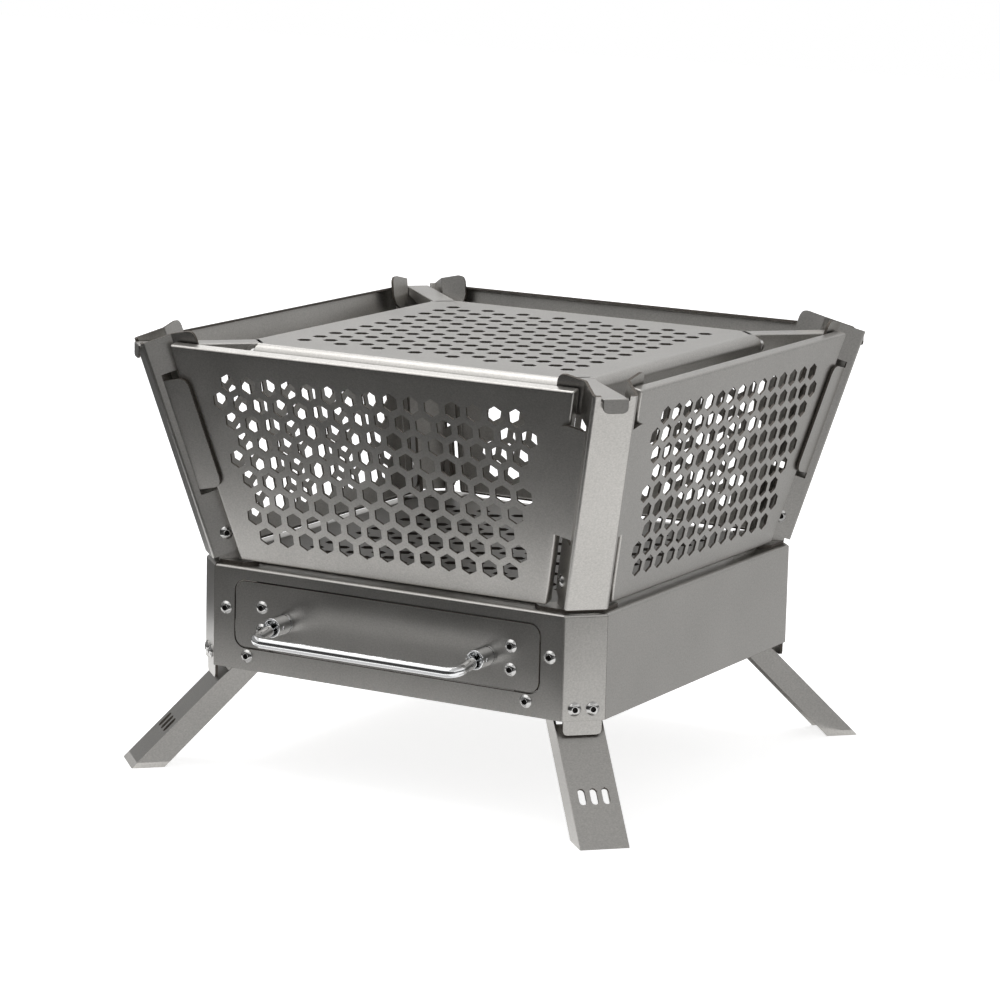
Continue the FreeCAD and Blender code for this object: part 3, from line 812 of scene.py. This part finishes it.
def rolled_plate(sizes, sheet):
    """Plate with rolled and folded edges, before it is punched."""
    plate = plane("plate_sheet", 2 * sizes.flat_half, 2 * sizes.flat_half, (0, 0, plate_high.z))
    edit(plate)
    bevel((sizes.flat_half - sizes.side_half) / math.sqrt(2), steps=1, affect="VERTICES")
    for k in range(4):
        out = Vector((round(math.cos(k * math.pi / 2)), round(math.sin(k * math.pi / 2)), 0))
        must_pick(plate, "EDGE", lambda e: middle(e).dot(out) > sizes.flat_half - LOOSE)
        extrude(out * sizes.roll)
        extrude((0, 0, -sizes.skirt))
    rim = sizes.flat_half + sizes.roll
    must_pick(plate, "EDGE", lambda e: abs(max(abs(middle(e).x), abs(middle(e).y)) - rim) < LOOSE
              and middle(e).z > plate_high.z - LOOSE and e.calc_length() > sizes.side_half)
    bevel(sizes.roll, sizes.roll_steps)
    weld(NEAR)
    close_edit()
    modify(plate, "SOLIDIFY", thickness=sheet, offset=-1, use_even_offset=True)
    paint(plate, steel())
    return plate


def plate_ears(sizes, sheet):
    """Pairs of rounded ears that stand out from the plate's cut corners, one each side of an arm."""
    place = ((sizes.ear_in + sizes.ear_out) / 2, 0, plate_high.z - (sizes.ear_drop + sheet / 2) / 2)
    ear = plane("plate_ear", sizes.ear_out - sizes.ear_in, sizes.ear_drop - sheet / 2, place,
                (math.pi / 2, 0, 0))
    paint(ear, steel())
    edit(ear)
    must_pick(ear, "VERT", lambda v: v.co.x > sizes.ear_out - NEAR)
    bevel(sizes.ear_round, steps=6, affect="VERTICES")
    close_edit()
    modify(ear, "SOLIDIFY", thickness=sheet, offset=0)
    ear.location.y = (sizes.arm + sheet) / 2
    apply_place()
    modify(ear, "MIRROR", use_axis=(False, True, False))
    ear.rotation_euler.z = math.radians(-45)
    apply_place()
    return [ear] + [turned_copy(ear, "plate_ear", k) for k in (1, 2, 3)]


class FIREPIT_OT_top_plate(bpy.types.Operator):
    """Roll and punch the top plate, with its ears and hooked arms"""
    bl_idname = "firepit.top_plate"
    bl_label = "Top Plate"

    def execute(self, context):
        sizes = context.scene.fire_pit_plate
        sheets = context.scene.fire_pit_sheet
        plate = rolled_plate(sizes, sheets.wall_sheet)
        punch_holes(plate, sizes, plate_high.z)
        plate = join([plate] + plate_ears(sizes, sheets.wall_sheet), "plate_sheet")
        smooth(plate)
        settle(plate, "top_plate", "top_plate")
        corner_pieces("plate_arm", sheets.wall_sheet, steel(), ["top_plate"] * 4, sheets.bend)
        return {"FINISHED"}


class FIREPIT_OT_fire_grate(bpy.types.Operator):
    """Punch the fire grate"""
    bl_idname = "firepit.fire_grate"
    bl_label = "Fire Grate"

    def execute(self, context):
        grate = merged_copy("fire_grate", "grate_sheet")
        paint(grate, fire_steel())
        punch_holes(grate, context.scene.fire_pit_plate, grate_high.z)
        smooth(grate)
        settle(grate, "fire_grate", "fire_grate")
        return {"FINISHED"}


# Ash drawer and its handle

class FIREPIT_OT_drawer(bpy.types.Operator):
    """Finish the drawer front, its tray and its runners"""
    bl_idname = "firepit.drawer"
    bl_label = "Ash Drawer"

    def execute(self, context):
        sheets = context.scene.fire_pit_sheet
        front = bent_piece("drawer_front", "drawer_face", sheets.wall_sheet, steel(), sheets.bend)
        settle(front, "drawer", "drawer_front")
        tray = bent_piece("drawer_tray", "ash_tray", sheets.tray_sheet, fire_steel(), sheets.bend)
        settle(tray, "drawer", "drawer_tray")
        for _, side in HANDS:
            node_name = "drawer_runner_" + side
            runner = plain_piece(node_name, "runner_sheet_" + side, sheets.wall_sheet, steel())
            smooth(runner)
            settle(runner, "base", node_name)
        return {"FINISHED"}


def socket_barrel(sizes, tube):
    """Socket with its mouth up, a bore, and a groove and a collar at its root."""
    barrel = cylinder("socket", sizes.socket_sides, sizes.socket, tube, -tube / 2)
    edit(barrel)
    must_pick(barrel, "FACE", lambda f: f.normal.z > FACING)
    bpy.ops.mesh.inset(thickness=sizes.socket - sizes.socket_bore)
    extrude((0, 0, -sizes.bore_depth))
    must_pick(barrel, "FACE", lambda f: f.normal.z < -FACING and min(v.co.z for v in f.verts) < NEAR - tube)
    bpy.ops.mesh.inset(thickness=sizes.collar)
    extrude((0, 0, -sizes.collar))
    extrude((0, 0, 0))
    wide = sizes.socket / (sizes.socket - sizes.collar)
    bpy.ops.transform.resize(value=(wide, wide, 1), center_override=(0, 0, -tube - sizes.collar))
    extrude((0, 0, -sizes.collar))
    must_pick(barrel, "EDGE", lambda e: all(abs(v.co.z) < NEAR for v in e.verts)
              and abs(e.verts[0].co.xy.length - e.verts[1].co.xy.length) < NEAR)
    bevel(sizes.mouth, steps=4)
    return barrel


def socket_pin(sizes):
    """Cross pin that stands a little out of its socket at both ends."""
    pin = cylinder("socket_pin", sizes.pin_sides, sizes.pin, 2 * (sizes.socket + sizes.proud),
                   -sizes.pin_depth, (0, math.pi / 2, 0))
    modify(pin, "BEVEL", width=sizes.pin_break, segments=2, limit_method="ANGLE", angle_limit=CUT_EDGE)
    return pin


class FIREPIT_OT_handle_sockets(bpy.types.Operator):
    """Turn the two handle sockets with their cross pins"""
    bl_idname = "firepit.handle_sockets"
    bl_label = "Handle Sockets"

    def execute(self, context):
        sizes = context.scene.fire_pit_handle
        tube = socket_high.y - socket_low.y - 2 * sizes.collar
        made = []
        for side, _ in HANDS:
            piece = join([socket_barrel(sizes, tube), socket_pin(sizes)], "socket")
            smooth(piece)
            piece.rotation_euler.x = math.pi / 2
            piece.location = (side * sizes.half, socket_low.y, pin_height)
            apply_place()
            made.append(piece)
        settle(join(made, "handle_ferrules"), "drawer", "handle_sockets", slot="chrome",
               finish=chrome())
        return {"FINISHED"}


def turn_bar(sizes, centre):
    """Bends the bar's open end by a quarter turn."""
    bpy.ops.mesh.spin(steps=sizes.bend_steps, angle=math.pi / 2, center=centre, axis=(0, 0, 1))


class FIREPIT_OT_handle_bail(bpy.types.Operator):
    """Bend the round handle bar and narrow its eyes"""
    bl_idname = "firepit.handle_bail"
    bl_label = "Handle"

    def execute(self, context):
        sizes = context.scene.fire_pit_handle
        corner = sizes.half - sizes.bend
        turn_line = sizes.bend - sizes.reach
        clear()
        bpy.ops.mesh.primitive_circle_add(vertices=sizes.bar_sides, radius=sizes.bar, fill_type="NGON",
                                          location=(sizes.half, -sizes.neck, 0),
                                          rotation=(math.pi / 2, 0, 0))
        bar = added("handle_bar")
        apply_place()
        edit(bar)
        extrude((0, turn_line + sizes.neck, 0))
        turn_bar(sizes, (corner, turn_line, 0))
        extrude((-2 * corner, 0, 0))
        turn_bar(sizes, (-corner, turn_line, 0))
        extrude((0, -turn_line - sizes.neck, 0))
        for side, _ in HANDS:
            must_pick(bar, "FACE", lambda f: f.calc_center_median().x * side > 0
                      and min(v.co.y for v in f.verts) > -sizes.neck - NEAR)
            extrude((0, sizes.taper, 0))
            bpy.ops.transform.resize(value=(sizes.eye_wide, 1, sizes.eye_high),
                                     center_override=(side * sizes.half, 0, 0))
            extrude((0, sizes.neck + sizes.eye_end, 0))
        weld(MERGE)
        close_edit()
        smooth(bar)
        bar.rotation_euler.x = sizes.droop
        bar.location = (0, socket_low.y + sizes.pin_depth, pin_height)
        settle(bar, "drawer_handle", "handle_bail", slot="chrome", finish=chrome())
        return {"FINISHED"}


# Rivets

# Level, distance from the middle and height, on one half of a base wall and of the drawer front
BASE_RIVETS = (("high", 0.1327, 0.1178), ("low", 0.1146, 0.0844))
DRAWER_RIVETS = (("high", 0.102, 0.1215), ("low", 0.102, 0.105))

# Name, place, direction and body, on one half of a corner whose diagonal lies along x
CORNER_RIVETS = (
    ("chamfer", (0.21779, 0.0065, 0.0823), (1, 0, 0), "base"),
    ("post", (0.2095, 0.01575, 0.1709), (0, 1, 0), "base"),
    ("arm", (0.189, 0.0105, 0.2985), (0, 1, 0), "top_plate"),
    ("leg", (0.18276, 0.0175, 0.082), (0, 1, 0), "leg_{}"),
)

# Shares of the head's width and of its dome's height, from the rim to the bore
DOME_STEPS = ((0.30, 0.52), (0.34, 0.34), (0.26, 0.14), (0.10, -0.05))


def rivet_head(sizes):
    """Domed rivet head with a sunk middle, standing on the ground plane."""
    head = cylinder("rivet_head", sizes.sides, sizes.head, sizes.rim, sizes.rim / 2)
    paint(head, rivet_steel(), rivet_bore_shade())
    edit(head)
    must_pick(head, "FACE", lambda f: f.normal.z > FACING)
    width = sizes.head - sizes.bore
    for inset, rise in DOME_STEPS:
        bpy.ops.mesh.inset(thickness=inset * width, depth=rise * sizes.dome)
    bpy.ops.mesh.inset(thickness=sizes.bore_taper, depth=-sizes.bore_depth)
    # The bore takes the near-black finish: painted shade in the rivet's hole
    head.active_material_index = 1
    bpy.ops.object.material_slot_assign()
    close_edit()
    only(head)
    bpy.ops.object.shade_smooth_by_angle(angle=DOME_EDGE)
    return head


def set_rivet(head, name, place, outward, body):
    """Copy of the rivet head on a sheet, facing outward."""
    copy = copy_of(head, name)
    copy.rotation_mode = "QUATERNION"
    copy.rotation_quaternion = Vector(outward).to_track_quat("Z", "Y")
    copy.location = place
    settle(copy, body)


class FIREPIT_OT_rivets(bpy.types.Operator):
    """Set the rivets of the base, the drawer, the posts, the arms and the legs"""
    bl_idname = "firepit.rivets"
    bl_label = "Rivets"

    def execute(self, context):
        head = rivet_head(context.scene.fire_pit_fastener)
        for side, hand in HANDS:
            for level, x, z in BASE_RIVETS:
                for wall, way in (("front", -1), ("back", 1)):
                    place = (side * x, -way * wall_low.y, z)
                    set_rivet(head, f"base_rivet_{wall}_{hand}_{level}", place, (0, way, 0), "base")
            for level, x, z in DRAWER_RIVETS:
                place = (side * x, face_low.y, z)
                set_rivet(head, f"drawer_rivet_{hand}_{level}", place, (0, -1, 0), "drawer")
        for k, corner in enumerate(CORNERS):
            turn = Quaternion((0, 0, 1), math.radians(90 * k - 45))
            for side, half in ((-1, "a"), (1, "b")):
                mirror = Vector((1, side, 1))
                for stem, place, outward, body in CORNER_RIVETS:
                    set_rivet(head, f"{stem}_rivet_{corner}_{half}", turn @ (Vector(place) * mirror),
                              turn @ (Vector(outward) * mirror), body.format(corner))
        bpy.data.objects.remove(head)
        return {"FINISHED"}


# Stage

# Name, place, width, height and power of the lamps, which all point at the middle of the object
LAMPS = (
    ("key_lamp", (-1.5, 2.0, 2.05), 1.8, 0.5, 5.5),
    ("top_lamp", (-0.9, 0.3, 3.0), 2.2, 2.2, 34),
)

# Name, two opposite corners and brightness of the cards that show only in the metal
CARDS = (
    ("front_floor_flag", (-3.5, -3.5, 0.004), (0.7, -0.385, 0.004), 0.08),
    ("left_floor_flag", (-3.5, -0.385, 0.004), (-0.5, 1.5, 0.004), 0.12),
    ("right_floor_flag", (0.7, -3.5, 0.004), (3.5, -0.08, 0.004), 0.5),
    ("back_floor_flag", (0.2, -0.08, 0.004), (3.5, 3.5, 0.004), 0.62),
    ("front_flag", (-3.5, -3.5, 0.0), (3.5, -3.5, 1.9), 0.05),
    # A grey card at the foot of the front wall: painted shadow, which the metal reflects in place of the
    # object's own shadow on the floor there
    ("front_painted_shadow", (-0.3, -0.3, 0.004), (0.1, -0.17, 0.004), 0.7),
    ("left_flag", (-3.5, -3.5, 0.0), (-3.5, 3.5, 2.2), 0.3),
    ("right_flag", (3.5, -3.5, 0.0), (3.5, 3.5, 1.2), 0.1),
    ("back_flag", (-3.5, 3.5, 0.0), (3.5, 3.5, 2.2), 0.58),
    ("top_flag", (-3.5, -3.5, 3.3), (3.5, 3.5, 3.3), 0.6),
    ("front_card", (-2.8, -3.4, 3.2), (0.5, -0.9, 3.2), 1.7),
)


def blank_tree(owner):
    """Emptied node tree of a new material or world."""
    owner.use_nodes = True
    owner.node_tree.nodes.clear()
    return owner.node_tree


def in_plain_sight(tree):
    """Value of 1 for camera, glossy and transmission rays, and of 0 for the rest."""
    path = node(tree, "ShaderNodeLightPath").outputs
    seen = path["Is Camera Ray"]
    for kind in ("Is Glossy Ray", "Is Transmission Ray"):
        seen = calculate(tree, "MAXIMUM", seen, path[kind])
    return seen


def pale_floor(sizes):
    """Lit floor that looks a little whiter than its light makes it."""
    floor = plane("studio_floor", 2 * sizes.floor, 2 * sizes.floor, (0, 0, 0))
    made = bpy.data.materials.new("pale_floor")
    tree = blank_tree(made)
    lit = node(tree, "ShaderNodeBsdfDiffuse")
    lit.inputs["Color"].default_value = (*sizes.floor_colour, 1)
    glow = node(tree, "ShaderNodeEmission")
    lift = calculate(tree, "MULTIPLY", in_plain_sight(tree), sizes.floor_glow)
    link(tree, lift, glow.inputs["Strength"])
    both = node(tree, "ShaderNodeAddShader")
    link(tree, lit.outputs["BSDF"], both.inputs[0])
    link(tree, glow.outputs["Emission"], both.inputs[1])
    end = node(tree, "ShaderNodeOutputMaterial")
    link(tree, both.outputs["Shader"], end.inputs["Surface"])
    paint(floor, made)


def background(tree, strength):
    made = node(tree, "ShaderNodeBackground")
    made.inputs["Color"].default_value = (1, 1, 1, 1)
    made.inputs["Strength"].default_value = strength
    return made.outputs["Background"]


def studio_world(sizes):
    """Soft light from all round, which looks white."""
    world = bpy.data.worlds.new("studio")
    bpy.context.scene.world = world
    tree = blank_tree(world)
    mix = node(tree, "ShaderNodeMixShader")
    link(tree, in_plain_sight(tree), mix.inputs["Fac"])
    link(tree, background(tree, sizes.soft_light), mix.inputs[1])
    link(tree, background(tree, 1.0), mix.inputs[2])
    end = node(tree, "ShaderNodeOutputWorld")
    link(tree, mix.outputs["Shader"], end.inputs["Surface"])


def soft_lamp(name, place, aim, width, height, power):
    """Rectangular lamp pointed at a place."""
    lamp = bpy.data.lights.new(name, "AREA")
    lamp.shape, lamp.energy = "RECTANGLE", power
    lamp.size, lamp.size_y = width, height
    obj = bpy.data.objects.new(name, lamp)
    bpy.context.scene.collection.objects.link(obj)
    obj.location = place
    obj.rotation_euler = (Vector(place) - Vector(aim)).to_track_quat("Z", "Y").to_euler()


def flag(name, corner, far, shade):
    """Level or upright card that shows only in the metal, as a studio sets beside polished things; the small
    card at the front of the base is a painted shadow instead.
    """
    low, high = Vector(corner), Vector(far)
    span = high - low
    wide, deep, turn = span.x, span.y, (0, 0, 0)
    if span.z > 0:
        wide, deep, turn = span.xy.length, span.z, (math.pi / 2, 0, math.atan2(span.y, span.x))
    card = plane(name, wide, deep, (low + high) / 2, turn)
    made = bpy.data.materials.new(name)
    tree = blank_tree(made)
    glow = node(tree, "ShaderNodeEmission")
    glow.inputs["Color"].default_value = (shade, shade, shade, 1)
    end = node(tree, "ShaderNodeOutputMaterial")
    link(tree, glow.outputs["Emission"], end.inputs["Surface"])
    paint(card, made)
    card.visible_camera = card.visible_diffuse = card.visible_shadow = card.visible_transmission = False


def studio_camera(sizes):
    """Camera that sees the object as the photo does."""
    back = Vector((math.sin(sizes.azimuth) * math.cos(sizes.elevation),
                   -math.cos(sizes.azimuth) * math.cos(sizes.elevation), math.sin(sizes.elevation)))
    turn = back.to_track_quat("Z", "Y") @ Quaternion((0, 0, 1), sizes.roll)
    centre = Vector((0, 0, sizes.middle))
    place = centre + back * sizes.distance
    aim = centre + turn @ Vector((sizes.aim_right, sizes.aim_up, 0))
    sight = (place - aim).normalized()
    up = turn @ Vector((0, 1, 0))
    right = up.cross(sight).normalized()
    up = sight.cross(right)
    data = bpy.data.cameras.new("studio_camera")
    data.lens, data.sensor_width = sizes.lens, 36
    camera = bpy.data.objects.new("studio_camera", data)
    bpy.context.scene.collection.objects.link(camera)
    camera.matrix_world = Matrix((right, up, sight)).transposed().to_4x4()
    camera.location = place
    bpy.context.scene.camera = camera


class FIREPIT_OT_stage(bpy.types.Operator):
    """Set the floor, the light and the camera"""
    bl_idname = "firepit.stage"
    bl_label = "Studio Stage"

    def execute(self, context):
        sizes = context.scene.fire_pit_stage
        pale_floor(sizes)
        studio_world(sizes)
        for name, place, width, height, power in LAMPS:
            soft_lamp(name, place, (0, 0, sizes.middle), width, height, power)
        for card in CARDS:
            flag(*card)
        studio_camera(sizes)
        context.scene.view_settings.view_transform = "Standard"
        return {"FINISHED"}


OPERATORS = (FIREPIT_OT_base_walls, FIREPIT_OT_corner_posts, FIREPIT_OT_legs, FIREPIT_OT_side_panels,
             FIREPIT_OT_top_plate, FIREPIT_OT_fire_grate, FIREPIT_OT_drawer, FIREPIT_OT_handle_sockets,
             FIREPIT_OT_handle_bail, FIREPIT_OT_rivets, FIREPIT_OT_stage)


class FIREPIT_PT_panel(bpy.types.Panel):
    """Lists the steps that dress the fire pit"""
    bl_idname = "FIREPIT_PT_panel"
    bl_label = "Fire Pit"
    bl_space_type = "VIEW_3D"
    bl_region_type = "UI"
    bl_category = "Fire Pit"

    def draw(self, context):
        for operator in OPERATORS:
            self.layout.operator(operator.bl_idname)
        for attribute, group in GROUPS:
            box = self.layout.box()
            for name in group.__annotations__:
                box.prop(getattr(context.scene, attribute), name)


def register():
    for attribute, group in GROUPS:
        bpy.utils.register_class(group)
        setattr(bpy.types.Scene, attribute, bpy.props.PointerProperty(type=group))
    for cls in OPERATORS + (FIREPIT_PT_panel,):
        bpy.utils.register_class(cls)


def unregister():
    for cls in reversed(OPERATORS + (FIREPIT_PT_panel,)):
        bpy.utils.unregister_class(cls)
    for attribute, group in reversed(GROUPS):
        delattr(bpy.types.Scene, attribute)
        bpy.utils.unregister_class(group)


def main():
    register()
    for operator in OPERATORS:
        family, name = operator.bl_idname.split(".")
        getattr(getattr(bpy.ops, family), name)()


if __name__ == "__main__":
    main()
